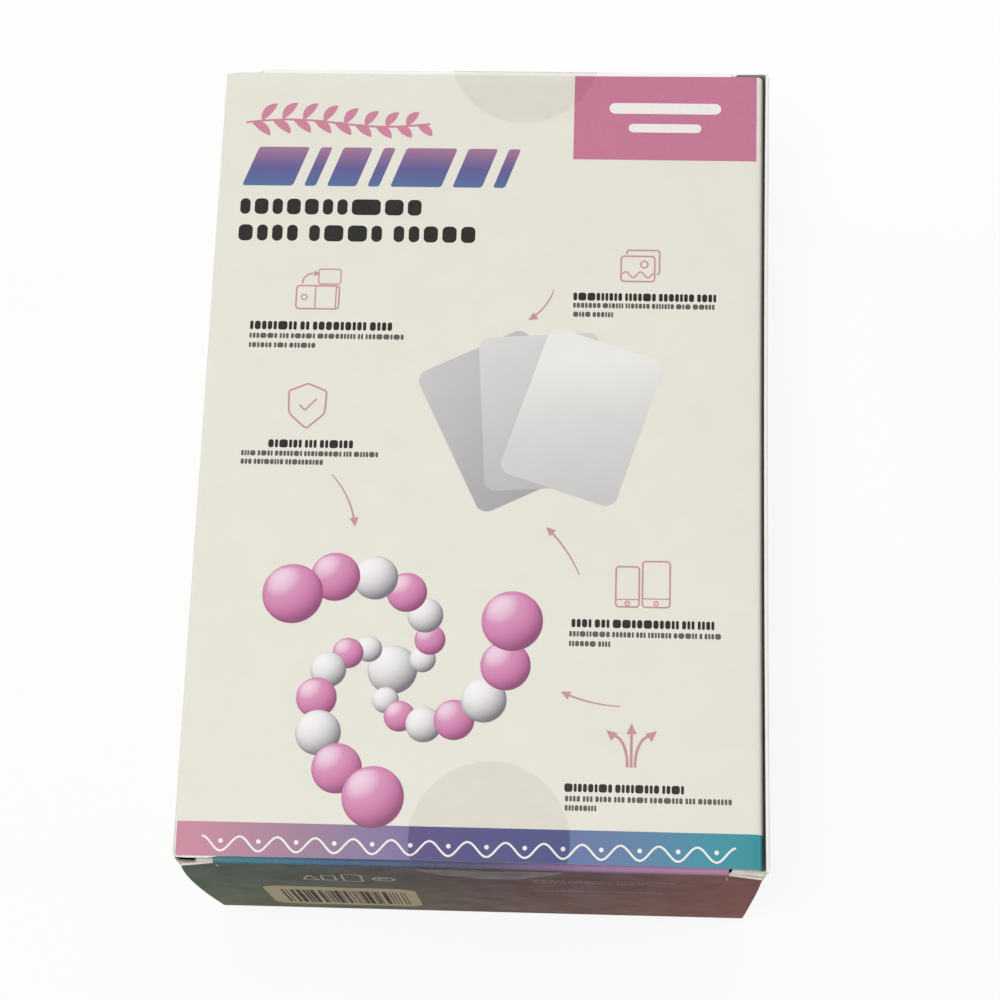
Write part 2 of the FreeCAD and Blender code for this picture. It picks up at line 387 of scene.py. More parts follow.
def closedSheet(grid, thickness, wrap=False, **marks):
    # A sheet with this outer face: the inner face lies one thickness in along the normal, and a
    # rim joins the two. Roles: 0 outer face, 1 inner face, 2 rim.
    rows, cols = grid.shape[:2]
    inner = grid - normalsOf(grid, wrap) * thickness
    count = rows * cols
    face = gridQuads(rows, cols, wrap)
    index = np.arange(count).reshape(rows, cols)
    if wrap:
        loops = [np.append(index[:, 0], index[0, 0]), np.append(index[::-1, -1], index[-1, -1])]
    else:
        loops = [np.concatenate([index[:, 0], index[-1, 1:], index[-2::-1, -1], index[0, -2::-1]])]
    rim = np.concatenate([
        np.stack([loop[:-1], loop[:-1] + count, loop[1:] + count, loop[1:]], axis=-1) for loop in loops
    ])
    return {
        "points": np.concatenate([grid.reshape(-1, 3), inner.reshape(-1, 3)]),
        "quads": np.concatenate([face, face[:, ::-1] + count, rim]),
        "roles": np.repeat([0, 1, 2], [len(face), len(face), len(rim)]),
        "marks": {
            name: np.tile(np.broadcast_to(mark, (rows, cols)).ravel(), 2) for name, mark in marks.items()
        },
    }


def bowed(grid):
    # Carries points with the side walls, fading out a little way in from them. Each wall bows as an
    # arch over the depth and is pushed in at its foot, both strongest at the bottom end, and its
    # upper edge sags in as an arch along the height.
    x, y, z = np.moveaxis(grid, -1, 0)
    up = np.clip(z / depth, 0, 1)
    end = np.clip(0.5 - y / height, 0, 1) ** 3
    along = 1 - board["sagArch"] * (y / halfH) ** 2
    bow, foot, sag = (
        np.where(x < 0, board[name][-1], board[name][1]) for name in ("sideBow", "footPull", "edgeSag")
    )
    outward = bow * 4 * up * (1 - up) * end - foot * (1 - up) ** 3 * end - sag * up**2 * along
    felt = np.clip((np.abs(x) - halfW) / board["bowReach"] + 1, 0, 1) ** 2
    shift = np.sign(x) * outward * felt
    return grid + np.stack([shift, 0 * shift, 0 * shift], axis=-1)


def facingOut(grid, *marks):
    # turns a grid round where its normals point to the carton's middle
    middle = np.array([0, 0, depth / 2])
    outward = np.sum(normalsOf(grid) * (grid - middle))
    grids = (grid, *marks)
    if outward < 0:
        grids = tuple(g[:, ::-1] for g in grids)
    return grids if marks else grids[0]


def boardSheet(grid, wear):
    # a sheet of board that goes with the walls' bows
    grid, wear = facingOut(bowed(grid), wear)
    return closedSheet(grid, board["thickness"], wear=wear)


def makePiece(name, sheets, materials, pick=None):
    # Joins sheets into one mesh. pick gives each sheet's material numbers for its three roles, and a
    # sheet's own finish, where it has one, says which of its faces take another number.
    starts = np.cumsum([0] + [len(s["points"]) for s in sheets])
    points = np.concatenate([s["points"] for s in sheets]) * mm
    quads = np.concatenate([s["quads"] + start for s, start in zip(sheets, starts)])
    mesh = bpy.data.meshes.new(name)
    mesh.from_pydata(points, [], quads)
    for material in materials:
        mesh.materials.append(material)
    picks = pick if isinstance(pick, list) else [pick or (0, 0, 0)] * len(sheets)
    chosen = []
    for s, numbers in zip(sheets, picks):
        plain = np.array(numbers)[s["roles"]]
        finish = s.get("finish", 0 * plain)
        chosen.append(np.where(finish > 0, finish, plain))
    mesh.polygons.foreach_set("material_index", np.concatenate(chosen).astype(np.int32))
    mesh.polygons.foreach_set("use_smooth", np.ones(len(quads), dtype=bool))
    for mark in sheets[0]["marks"]:
        attribute = mesh.attributes.new(mark, "FLOAT", "POINT")
        attribute.data.foreach_set("value", np.concatenate([s["marks"][mark] for s in sheets]))
    mesh.update()
    mesh.set_sharp_from_angle(angle=math.radians(sharpFold))
    piece = bpy.data.objects.new(name, mesh)
    bpy.context.collection.objects.link(piece)
    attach(piece, "root")
    return piece


def bentPath(corners, radii, step=3.0, arcSteps=8, closed=False):
    # Straight runs joined by tangent arcs of the given radii, with no point twice. Returns points and,
    # for each, how far it lies into a bend: 0 on a run, 1 at the middle of an arc.
    corners = np.array(corners, dtype=float)
    count = len(corners)
    runs, bends = [], []
    for i in range(count):
        at = corners[i]
        if not closed and i in (0, count - 1):
            runs.append(at[None])
            bends.append(np.zeros(1))
            continue
        back = corners[i - 1] - at
        ahead = corners[(i + 1) % count] - at
        back = back / np.linalg.norm(back)
        ahead = ahead / np.linalg.norm(ahead)
        half = math.acos(np.clip(back @ ahead, -1, 1)) / 2
        reach = radii[i] / math.tan(half)
        middle = (back + ahead) / np.linalg.norm(back + ahead) * radii[i] / math.sin(half) + at
        share = np.linspace(0, 1, arcSteps + 1)[:, None]
        start = at + back * reach - middle
        end = at + ahead * reach - middle
        turn = math.pi - 2 * half
        arc = (np.sin((1 - share) * turn) * start + np.sin(share * turn) * end) / math.sin(turn)
        runs.append(middle + arc)
        bends.append(np.sin(share[:, 0] * math.pi))
    points, marks = [], []
    last = count if closed else count - 1
    for i in range(count):
        points.append(runs[i])
        marks.append(bends[i])
        if i < last:
            a = runs[i][-1]
            b = runs[(i + 1) % count][0]
            parts = max(1, int(round(np.linalg.norm(b - a) / step)))
            share = np.linspace(0, 1, parts + 1)[1:-1, None]
            points.append(a + (b - a) * share)
            marks.append(np.zeros(parts - 1))
    points, marks = np.concatenate(points), np.concatenate(marks)
    before = points[-1:] if closed else points[:1] - 1
    apart = np.linalg.norm(np.diff(points, axis=0, prepend=before), axis=1) > tiny
    return points[apart], marks[apart]


def frontZ(x, y):
    # The front panel crowns: a low arch across its width times a low arch along its height, over a
    # square-shouldered arch across. Its glued edge rolls down as the cube of the distance.
    edgeIn = board["seamGroove"][0]
    middle = (board["crease"] - edgeIn) / 2
    reach = halfW - (board["crease"] + edgeIn) / 2
    across = np.clip(np.abs(x - middle) / reach, 0, 1)
    along = np.clip(1 - (y / halfH) ** 2, 0, 1)
    shoulder, square = board["frontShoulder"]
    drop, rollReach = board["seamRoll"]
    roll = np.clip((x - halfW + edgeIn) / rollReach + 1, 0, 1)
    crown = board["frontCrown"] * (1 - across**2) * along
    return depth + crown + shoulder * (1 - across**square) - drop * roll**3


def bareEnd(x):
    # height of the bare strip at the left end of the front's bottom edge
    tall, length, runOut = board["bareEnd"]
    return tall * np.clip((length - halfW - x) / runOut, 0, 1)


def rawEdge(x, side):
    # Half the front's height: its raw edges bow in a little, its creased corners are rounded off,
    # and the bottom edge lies further out.
    bow = board["edgeBow"] * np.clip(1 - (x / halfW) ** 2, 0, 1)
    corner = board["cornerRound"] * np.clip((-x - halfW) / board["corner"] + 1, 0, 1) ** 2
    further = np.where(side < 0, board["edgeDrop"] + bareEnd(x), 0)
    return halfH - board["edgeSetback"] - bow - corner + further


def lidY(x, z):
    # A lid crowns outwards in the same way, and its loose ears spring out towards the corners.
    across = np.clip(1 - (x / halfW) ** 2, 0, 1)
    along = np.clip(4 * (z / depth) * (1 - z / depth), 0, 1)
    ear = np.clip((np.abs(x) - halfW + board["slit"]) / board["slit"], 0, 1)
    spring = board["earSpring"] * ear**2 * np.clip(z / depth, 0, 1) ** 4
    return halfH + board["lidCrown"] * across * along + spring


# The sleeve: glue flap, right side, back, left side and front as one bent strip

def sleeveProfile():
    # The strip's profile in X and Z, from the glue flap round to the front's glued edge: its points,
    # how far each lies into a bend and how far along the strip it is.
    t, hair, sink = board["thickness"], board["hair"], board["seamSink"]
    edgeIn, foldIn, groove = board["seamGroove"]
    corners = [
        (halfW - board["glueFlap"], depth - t - hair),
        (halfW - foldIn - hair / 2, depth - t - groove),
        (halfW - foldIn, depth - sink),
        (halfW, depth - sink),
        (halfW, 0),
        (-halfW, 0),
        (-halfW, depth),
        (halfW - edgeIn, depth),
    ]
    path, bend = bentPath(corners, [*board["seamRadii"]] + [board["crease"]] * 5, step=2.5)
    run = np.concatenate([[0], np.cumsum(np.linalg.norm(np.diff(path, axis=0), axis=1))])
    # closer points where the front's edge rolls down
    closer = np.concatenate([run[run < run[-1] - rollPoints[0]], run[-1] - rollPoints])
    path = np.stack([np.interp(closer, run, path[:, 0]), np.interp(closer, run, path[:, 1])], axis=1)
    return path, np.interp(closer, run, bend), closer


def makeSleeve():
    # Profile in X and Z carried along Y. The ends of the strip step in where the front panel stops
    # short, and follow a shallow bow along the front's raw edges.
    t, hair, sink = board["thickness"], board["hair"], board["seamSink"]
    edgeIn, foldIn, _ = board["seamGroove"]
    path, bend, run = sleeveProfile()
    ahead = np.gradient(path, axis=0)
    outward = np.stack([-ahead[:, 1], ahead[:, 0]], axis=1)
    outward /= np.linalg.norm(outward, axis=1, keepdims=True)
    x, z = path.T
    # which points are on the front, the glue flap, the back and the fold beside the seam
    backRise, foldDrop = 0.3, 1.1
    isFront = run > run[-1] - (width - edgeIn)
    isGlue = run < board["glueFlap"] - edgeIn
    isBack = (z < backRise) & ~isGlue
    isFold = (x > halfW - board["glueFlap"]) & (z > depth - foldDrop) & ~isFront
    foldOut = np.clip((x - halfW + foldIn) / foldIn, 0, 1)
    share = np.linspace(-1, 1, 84)
    ends = np.select(
        [isFront[:, None], isGlue[:, None], isFold[:, None], isBack[:, None]],
        [
            rawEdge(x[:, None], share),
            halfH - board["edgeSetback"] - board["glueShort"],
            halfH - t - hair - board["corner"] * foldOut[:, None] ** 2,
            halfH - board["hinge"],
        ],
        halfH - t - board["corner"],
    )
    y = ends * share
    sideArch = np.clip(4 * (z / depth) * (1 - z / depth), 0, 1) * (np.abs(x) > halfW - tiny)
    backArch = np.clip(1 - (x / halfW) ** 2, 0, 1) * isBack
    along = np.clip(1 - (y / halfH) ** 2, 0, 1)
    lift = (board["sideCrown"] * sideArch - board["backDish"] * backArch)[:, None] * along
    lift = np.where(isFront[:, None], frontZ(x[:, None], y) - depth, lift)
    grid = np.stack([x[:, None] + outward[:, 0:1] * lift, y, z[:, None] + outward[:, 1:2] * lift], axis=-1)
    most, close = board["edgeWear"]
    wear = np.maximum(bend[:, None], most * np.abs(share[None, :]) ** close)
    sheet = closedSheet(bowed(grid), t, wear=wear)
    # the glued flap takes the dark edge board up to the fold's top: bare board, darkened as painted shade
    # in the groove. The white coat begins there.
    whiteNumber, shadedNumber = 3, 4
    faceRun = np.repeat((run[:-1] + run[1:]) / 2, len(share) - 1)
    topRun = run[np.argmax((z > depth - 2 * sink) & (x > halfW - foldIn - hair / 10))]
    sideRun = run[np.argmax(x > halfW - tiny)]
    finish = np.zeros(len(sheet["quads"]), dtype=int)
    finish[: len(faceRun)] = np.select([faceRun < topRun, faceRun < sideRun], [shadedNumber, whiteNumber], 0)
    # The front's raw edges take the dark edge board, painted shade of the shadow line along them, apart
    # from the bottom one's left end. The rim's faces go along the bottom end first and come back along the
    # top one.
    rim = np.flatnonzero(sheet["roles"] == 2)
    shadedRims = np.flatnonzero(isFront[:-1])
    finish[rim[shadedRims[x[shadedRims] > board["shadeFrom"] - halfW]]] = shadedNumber
    finish[rim[2 * len(run) + len(share) - 4 - shadedRims]] = shadedNumber
    sheet["finish"] = finish
    finishes = [creamCoat, insideFace, cutEdge, whiteCoat, shadedEdge]
    sleeve = makePiece("carton_sleeve", [sheet], finishes, (0, 1, 2))
    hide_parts("carton")
    return sleeve


sleeve = makeSleeve()
print("sleeve folded:", len(sleeve.data.polygons), "faces")


# The lids, with their tuck folds and ears, and the side flaps behind them

def earHeight(x):
    # straight slope from the slit's end down to the lid's corner
    share = np.clip((np.abs(x) - halfW + board["slit"]) / (board["slit"] - board["lidSetback"]), 0, 1)
    return depth - board["earAtSlit"] - share * (board["earAtCorner"] - board["earAtSlit"])


def makeLid(name, side, face, foldFace):
    # Flat part: a quarter-round hinge, then straight up to the fold or to the ear's slope. Fold:
    # a quarter round of the tuck radius between the slits, then the tuck flap under the front.
    r = board["hinge"]
    slit = halfW - board["slit"]
    edge = halfW - board["lidSetback"]
    foldZ = depth - board["thickness"] - tuckRadius
    between = np.linspace(-slit, slit, 61)
    x = np.concatenate([np.linspace(-edge, -slit, 9)[:-1], between, np.linspace(slit, edge, 9)[1:]])
    angle = np.linspace(0, math.pi / 2, 7)[:, None]
    top = np.where(np.abs(x) > slit + tiny, np.minimum(earHeight(x), foldZ), foldZ)
    rise = np.linspace(0, 1, 34)[1:, None]
    z = np.concatenate([r - r * np.cos(angle) + 0 * x, r + rise * (top - r)])
    inset = np.concatenate([r - r * np.sin(angle) + 0 * x, 0 * rise + 0 * x])
    # the ears' outer edges taper in towards their tops
    outer = np.clip((np.abs(x) - slit) / (edge - slit), 0, 1)
    taper = board["earTaper"] * np.clip(z / depth, 0, 1) ** 6 * outer
    grid = np.stack([x - np.sign(x) * taper, side * (lidY(x, z) - inset), z], axis=-1)
    most, close = board["lidWear"]
    wear = np.concatenate([np.ones_like(angle) + 0 * x, rise**close * most + 0 * x])
    panel = boardSheet(grid, wear)

    x = between
    angle = np.linspace(0, math.pi / 2, 10)[:, None]
    tuck = np.linspace(0, board["tuck"], 8)[1:, None]
    z = np.concatenate([tuckRadius * np.sin(angle) + 0 * x, tuckRadius - board["tuckDip"] * tuck + 0 * x])
    z = foldZ + z
    inset = np.concatenate([tuckRadius - tuckRadius * np.cos(angle) + 0 * x, tuckRadius + tuck + 0 * x])
    grid = np.stack([x + 0 * z, side * (lidY(x, np.minimum(z, foldZ)) - inset), z], axis=-1)
    wear = np.concatenate([np.sin(2 * angle) + 0 * x, 0 * tuck + 0 * x])
    fold = boardSheet(grid, wear)
    # the lids' cut edges take the lighter copy of the raw edge: painted light
    finishes = [face, insideFace, litEdge, foldFace]
    makePiece(name, [panel, fold], finishes, [(0, 1, 2), (3, 1, 2)])


def sideFlap(sideX, sideY):
    # Profile in X and Y, from the side panel round a crease to the flap's end, carried up along Z. The
    # strip at the top leans in: its slope grows evenly over the curl, then stays the same up to the
    # most it leans. Near the slit the strip is cut short, to lie clear of the lid's fold.
    t = board["thickness"]
    belowFront, aboveEar, curl, mostLean = board["flapBend"]
    slopes, below, begin, reach, cut = board["sideFlaps"][sideX, sideY]
    corners = [
        (sideX * halfW, sideY * (halfH - t - board["corner"])),
        (sideX * halfW, sideY * (halfH - t)),
        (sideX * (halfW - board["dustFlap"]), sideY * (halfH - t)),
    ]
    path, bend = bentPath(corners, [board["corner"]] * 3, step=0.5)
    x, y = path[:, 0:1], path[:, 1:2]
    inward = np.abs(np.abs(x) - halfW)
    slope = np.interp(inward, (begin, begin + reach), slopes)
    slope *= np.clip(inward / board["corner"], 0, 1)
    top = depth - np.interp(inward, (begin, begin + reach), below)
    cutRun, cutShare = board["flapCut"]
    short = np.clip((inward - cut) / cutRun, 0, 1)
    foot = np.minimum(depth - belowFront, earHeight(x) + aboveEar)
    foot = np.minimum(foot, top - curl)
    leastSlope = 0.1
    top = np.minimum(top, foot + curl / 2 + mostLean / np.maximum(slope, leastSlope))
    upright = np.linspace(0, 1, 30) * (foot - board["crease"]) + board["crease"]
    strip = foot + np.linspace(0, 1, 24)[1:] * (top - foot) * (1 - cutShare * short)
    z = np.concatenate([upright, strip], axis=1)
    up = np.clip(z - foot, 0, None)
    lean = slope * np.where(up < curl, up**2 / (2 * curl), up - curl / 2)
    # in the bend it leans less than the bend is deep, so that it doesn't fold over
    past = np.clip(inward - board["corner"], 0, None)
    deep = np.abs(y) - halfH + t + board["corner"]
    share, growth = board["flapLimit"]
    lean = np.minimum(lean, share * deep + growth * past)
    grid = np.stack([x + 0 * z, y - sideY * lean, z], axis=-1)
    return boardSheet(grid, bend[:, None] + 0 * z)


makeLid("carton_bottom_lid", -1, shadedLidInk, foldInk)
makeLid("carton_top_lid", 1, whiteCoat, whiteCoat)
flaps = [sideFlap(sideX, sideY) for sideX in (-1, 1) for sideY in (-1, 1)]
# the side flaps' rims take the darker edge board: painted shade
makePiece("carton_side_flaps", flaps, [whiteCoat, insideFace, shadedEdge], (0, 1, 2))
print("lids and side flaps closed")


# Flat shapes for the print, in the plane of a panel

def onFront(a, b, lift):
    # places on the front, whose left crease falls away as a quarter circle
    r = board["crease"]
    past = np.clip(r - halfW - a, 0, r)
    return np.stack([a, b, frontZ(a, b) - r + np.sqrt(r**2 - past**2) + lift], axis=-1)


def onEnd(a, b, lift):
    # places on the bottom lid
    return np.stack([a, -lidY(a, b) - lift, b], axis=-1)


ink = {"thickness": 0.02, "layer": 0.02, "stagger": 0.12, "levels": 5}


def inked(grid2d, place, layer=1, wrap=False, **marks):
    # lays a flat grid of places on a panel, as a film of ink
    raised = ink["layer"] * (layer - 1)
    grid = bowed(place(grid2d[..., 0], grid2d[..., 1], ink["thickness"] + raised))
    return closedSheet(grid, ink["thickness"] + 0.5 * raised, wrap, **marks)


def turned(a, b, x, y, turn):
    # places turned about the origin, then moved to x, y
    return np.stack(
        [x + a * math.cos(turn) - b * math.sin(turn), y + a * math.sin(turn) + b * math.cos(turn)], axis=-1
    )


def bar(x0, x1, y0, y1, corner, step=4.0):
    # A rectangle with round corners: its half height falls as a quarter circle near both ends.
    length = x1 - x0
    half = (y1 - y0) / 2
    corner = min(corner, half, length / 2)
    turn = corner * (1 - np.cos(np.linspace(0.12, 1, 6) * math.pi / 2))     # starts a little way in
    inner = np.linspace(corner, length - corner, max(2, int(length / step) + 1))
    along = np.concatenate([turn, inner[1:-1], length - turn[::-1]])
    near = np.minimum(np.minimum(along, length - along), corner)
    reach = half - corner + np.sqrt(np.maximum(corner**2 - (corner - near) ** 2, 0))
    across = np.linspace(-1, 1, max(2, int(2 * half / step) + 2))
    a = x0 + along[:, None] + 0 * across
    b = (y0 + y1) / 2 + reach[:, None] * across
    return np.stack([a, b], axis=-1)


def disc(x, y, rx, ry, count=9):
    # A square grid pressed into a round: each side is drawn in by the other's distance from the middle.
    u, v = np.meshgrid(np.linspace(-1, 1, count), np.linspace(-1, 1, count), indexing="ij")
    return np.stack([x + rx * u * np.sqrt(1 - v**2 / 2), y + ry * v * np.sqrt(1 - u**2 / 2)], axis=-1)


def ribbon(path, widths, wrap=False):
    # a stroke: each point of a path is moved half a width to both sides
    path = np.asarray(path, dtype=float)
    ahead = stepsAlong(path, wrap)
    left = np.stack([-ahead[:, 1], ahead[:, 0]], axis=1)
    left /= np.linalg.norm(left, axis=1, keepdims=True)
    half = np.broadcast_to(np.asarray(widths, dtype=float) / 2, len(path))[:, None]
    sides = np.array([-1.0, 0.0, 1.0])
    return path[:, None] + (left * half)[:, None] * sides[None, :, None]


def outline(corners, radius, stroke):
    # a closed stroke round a polygon with round corners
    radii = radius if isinstance(radius, list) else [radius] * len(corners)
    path, _ = bentPath(corners, radii, step=2.0, arcSteps=6, closed=True)
    return ribbon(path, stroke, wrap=True)


def boxCorners(x, y, wide, tall):
    # corners of a rectangle about its middle
    return [(x + i * wide / 2, y + j * tall / 2) for i, j in ((-1, -1), (1, -1), (1, 1), (-1, 1))]


def roundBox(x, y, wide, tall, corner, stroke):
    # a closed stroke round a rectangle, as printPiece takes one
    return (outline(boxCorners(x, y, wide, tall), corner, stroke),)


def ring(x, y, radius, stroke, start=0.0, end=1.0):
    # part of a circle, from start to end in turns
    whole = end - start >= 1
    turn = np.linspace(start, end, 33)[: 32 if whole else 33] * 2 * math.pi
    path = np.stack([x + radius * np.cos(turn), y + radius * np.sin(turn)], axis=1)
    return ribbon(path, stroke, wrap=whole)


def arrowHead(tip, direction, size):
    # a stroke that widens evenly from a blunt tip
    direction = np.asarray(direction, dtype=float)
    direction = direction / np.linalg.norm(direction)
    share = np.linspace(1, 0.04, 4)
    spread = 0.95
    return ribbon(np.asarray(tip) - share[:, None] * size * direction, share * size * spread)


dashes = {
    "lengths": [0.75, 1.0, 1.35, 2.1],
    "odds": [0.35, 0.3, 0.2, 0.15],
    "gap": 0.3,
    "wordGap": 0.8,
}


def codeRow(x0, x1, y0, y1, words, square):
    # A row of dashes and dots in word-like groups, filled to the row's exact length.
    lengths, gaps = [], []
    for word in words:
        lengths += list(rng.choice(dashes["lengths"], size=word, p=dashes["odds"]))
        gaps += [dashes["gap"]] * (word - 1) + [dashes["wordGap"]]
    lengths, gaps = np.array(lengths), np.array(gaps[:-1] + [0])
    unit = (x1 - x0) / (lengths.sum() + gaps.sum())
    starts = x0 + unit * np.concatenate([[0], np.cumsum(lengths + gaps)[:-1]])
    corner = square * (y1 - y0) / 2
    return [bar(a, a + unit * length, y0, y1, corner, step=8.0) for a, length in zip(starts, lengths)]


def codeRows(rows, square):
    # all the dashes of several rows
    return [dash for row in rows for dash in codeRow(*row, square)]


def printPiece(name, shapes, material, place=onFront, layer=1):
    # A shape in a tuple is a closed stroke. The shapes take a few levels by turns, a hair apart, so
    # that neighbours don't share a plane.
    sheets = []
    for i, shape in enumerate(shapes):
        closed = isinstance(shape, tuple)
        level = layer + ink["stagger"] * (i % ink["levels"])
        sheets.append(inked(shape[0] if closed else shape, place, level, closed))
    makePiece(name, sheets, [material])


# Colour fields, titles and rows of the front

layout = {
    "field": (20.3, 66.8, 77.8),                      # left, right, low edge
    "fieldBars": [(9, 1.2, 4.2), (14, -4.0, -1.6)],   # in from both sides, low and high from the middle
    "bandTop": -93.5,
    "bandGap": (0.3, 0.02),                           # from the crease, and from the raw edge
    "bandWave": (-63.2, 62.1, -98.6, 1.7, 8.95),      # left, right, middle height, swing, period
    "waveStroke": 0.5,
    "waveDot": (0.55, 0.35),                          # radius, and how high in the swing
    "garland": (-64.0, -16.5, 87.2, 0.9),             # left, right, middle height, swing
    "title": (-64.0, 7.0, 69.6, 80.4),                # left, right, low, high
    "titleWidths": (13.0, 3.0, 7.5, 3.0, 13.0, 7.5, 3.0),
    "titleLean": 0.36,                                # sideways for each mm up
    "titleCorner": 0.7,
    "titleFade": (67.0, 81.0),                        # heights between which its ink changes
    # rows of dashes: left, right, low, high, then how many dashes each group has
    "subtitles": [(-64.1, -17.8, 61.7, 66.0, [10]), (-64.1, -3.9, 54.4, 58.8, [4, 4, 5])],
    "headings": [
        (-59.6, -23.9, 30.4, 32.7, [8, 2, 9, 4]),
        (-53.2, -32.2, -0.6, 1.5, [6, 3, 6]),
        (21.2, 56.8, 39.3, 41.4, [9, 6, 7, 4]),
        (22.6, 56.8, -44.7, -42.6, [4, 3, 10, 3, 4]),
        (21.8, 49.9, -84.5, -82.5, [8, 8, 4]),
    ],
    "rows": [
        (-59.6, -20.9, 28.1, 29.5, [6, 3, 5, 9, 2, 8]),
        (-59.6, -42.9, 25.6, 27.0, [6, 3, 6]),
        (-59.8, -25.9, -2.8, -1.4, [4, 4, 7, 9, 3, 6]),
        (-59.8, -39.4, -5.0, -3.6, [3, 8, 10]),
        (21.2, 56.4, 37.3, 38.7, [7, 6, 7, 7, 3, 5]),
        (21.2, 31.2, 34.9, 36.3, [4, 6]),
        (22.1, 58.4, -47.0, -45.6, [9, 6, 3, 7, 5, 1, 4]),
        (22.1, 32.0, -49.4, -48.0, [6, 4]),
        (22.0, 61.1, -86.8, -85.4, [4, 3, 4, 3, 4, 7, 3, 8]),
        (22.0, 29.4, -89.0, -87.6, [9]),
    ],
}
titleStops = [(0.0, "4C8CA0"), (0.25, "5B6C9A"), (0.55, "645F93"), (0.8, "8F6E93"), (1.0, "A77C98")]

pinkInk = flatInk("offsetInkPink", "C87C97", "BF7490")
whiteInk = flatInk("opaqueInkWhite", "F4F1EC", "E8E3DF")
blackInk = flatInk("offsetInkBlack", "211F1C", "2C2A27")
greyInk = flatInk("offsetInkGrey", "5A5652", "6A6661")
lineInk = flatInk("offsetInkRose", "C9969F", "C28D98")
leafInk = flatInk("offsetInkBlush", "CF8AA0", "C67F97")
titleInk = fadedInk("processInkTitle", 1, *layout["titleFade"], titleStops)

left, right, low = layout["field"]
frontTop = rawEdge(0, 1)
field = bar(left, right, low, frontTop, corner=0.15, step=1.0)
# its top follows the front's raw edge
field[..., 1] += (rawEdge(field[..., 0], 1) - frontTop) * (field[..., 1] - low) / (frontTop - low)
printPiece("print_pink_field", [field], pinkInk)
middle = (low + frontTop) / 2
fieldMarks = [
    bar(left + side, right - side, middle + y0, middle + y1, (y1 - y0) / 2)
    for side, y0, y1 in layout["fieldBars"]
]
printPiece("print_field_bars", fieldMarks, whiteInk, layer=2)

# The band runs from the crease to the glued edge, and down to the front's raw edge.
gluedEdge = halfW - board["seamGroove"][0]
creaseGap, edgeGap = layout["bandGap"]
plainX = np.linspace(creaseGap - halfW, gluedEdge - rollPoints[0], 300)[:-1]
bandX = np.concatenate([plainX, gluedEdge - rollPoints])[:, None]
bandFoot = edgeGap + bareEnd(bandX) - rawEdge(bandX, -1)
bandY = bandFoot + (layout["bandTop"] - bandFoot) * np.linspace(0, 1, 6)
printPiece("print_band", [np.stack([bandX + 0 * bandY, bandY], axis=-1)], bandInk)

# Border on the band: a thin even wave, with a dot in each hollow.
x0, x1, y, swing, period = layout["bandWave"]
along = np.linspace(x0, x1, 400)
turns = 2 * math.pi * (along - x0) / period
border = [ribbon(np.stack([along, y + swing * np.cos(turns)], axis=1), layout["waveStroke"])]
dot, high = layout["waveDot"]
border += [disc(x, y + high * swing, dot, dot) for x in np.arange(x0 + period / 2, x1, period)]
printPiece("print_band_wave", border, whiteInk, layer=2)

leaves = {
    "count": 17,
    "span": (0.03, 0.93),    # shares of the stem with the first and the last leaf
    "slants": (-38, 52),     # degrees, below and above the stem by turns
    "length": 6.4,
    "shrink": 1.6,           # how much shorter the leaves are at the stem's end
    "wide": 2.3,
    "bow": 0.10,
    "fullness": 0.8,
    "stem": 0.55,
}


def leaf(root, angle, length):
    # a stroke with a slight bend, whose width rises and falls as a sine along it
    s = np.linspace(0.02, 0.98, 16)
    path = turned(length * s, leaves["bow"] * length * np.sin(math.pi * s), *root, angle)
    return ribbon(path, leaves["wide"] * np.sin(math.pi * s) ** leaves["fullness"])


# Garland: slanted leaves to both sides of a stem that rises and falls in one long wave.
x0, x1, y, swing = layout["garland"]
stemX = np.linspace(x0, x1, 90)
stemY = y + swing * np.sin(2 * math.pi * (stemX - x0) / (x1 - x0))
stem = ribbon(np.stack([stemX, stemY], axis=1), leaves["stem"])
garland = []
for k, share in enumerate(np.linspace(*leaves["span"], leaves["count"])):
    rootX = x0 + share * (x1 - x0)
    root = (rootX, np.interp(rootX, stemX, stemY))
    slant = math.radians(leaves["slants"][k % 2])
    garland.append(leaf(root, slant, leaves["length"] - leaves["shrink"] * share))
printPiece("print_garland", garland, leafInk)
printPiece("print_garland_stem", [stem], leafInk, layer=2)

# Title: leaning bars. Each upright bar is pushed sideways in step with its height.
x0, x1, y0, y1 = layout["title"]
lean = layout["titleLean"] * (y1 - y0)
widths = np.array(layout["titleWidths"])
space = (x1 - x0 - lean - widths.sum()) / (len(widths) - 1)
starts = x0 + np.concatenate([[0], np.cumsum(widths + space)[:-1]])
corner = layout["titleCorner"]
titleShapes = [bar(a, a + w, y0, y1, corner, step=3.0) for a, w in zip(starts, widths)]
for shape in titleShapes:
    shape[..., 0] += lean * (shape[..., 1] - y0) / (y1 - y0)
printPiece("print_title", titleShapes, titleInk)
printPiece("print_subtitles", codeRows(layout["subtitles"], square=0.6), blackInk)
printPiece("print_headings", codeRows(layout["headings"], square=0.6), blackInk)
printPiece("print_rows", codeRows(layout["rows"], square=0.8), greyInk)
print("colour fields and rows printed")


# Pictograms and arrows

